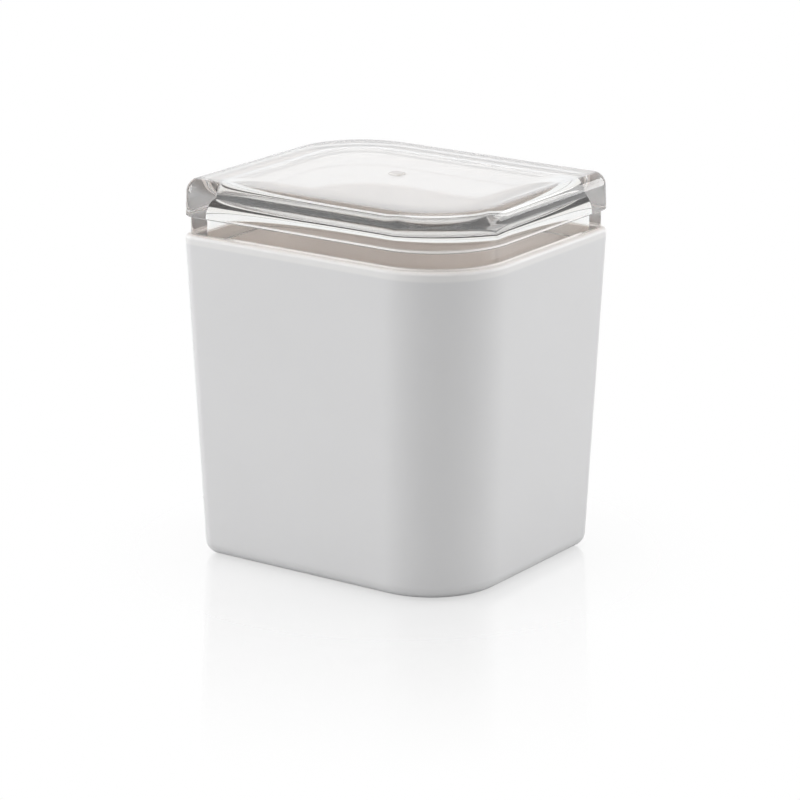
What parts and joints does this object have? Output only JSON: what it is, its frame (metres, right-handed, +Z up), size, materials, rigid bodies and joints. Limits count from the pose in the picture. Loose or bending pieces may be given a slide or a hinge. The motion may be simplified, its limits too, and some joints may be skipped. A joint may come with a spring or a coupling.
{
  "type": "cotton holder",
  "caption": "Tapered white cup with two swept and two crisp corners, under a thick clear lid that rests on its rim, for keeping cotton pads and buds.",
  "frame": {"origin": "centre of the foot's underside, on the surface that the cup stands on", "axes": "+Z up through the lid; X along the wide sides; Y along the narrow sides; the swept corners lie at +X -Y and -X +Y"},
  "size_m": [0.09, 0.075, 0.1066],
  "materials": {
    "white_plastic": "satin",
    "clear_plastic": "clear polished"
  },
  "bodies": {
    "root": {"body": "white_plastic", "lid": "clear_plastic"}
  },
  "joints": []
}
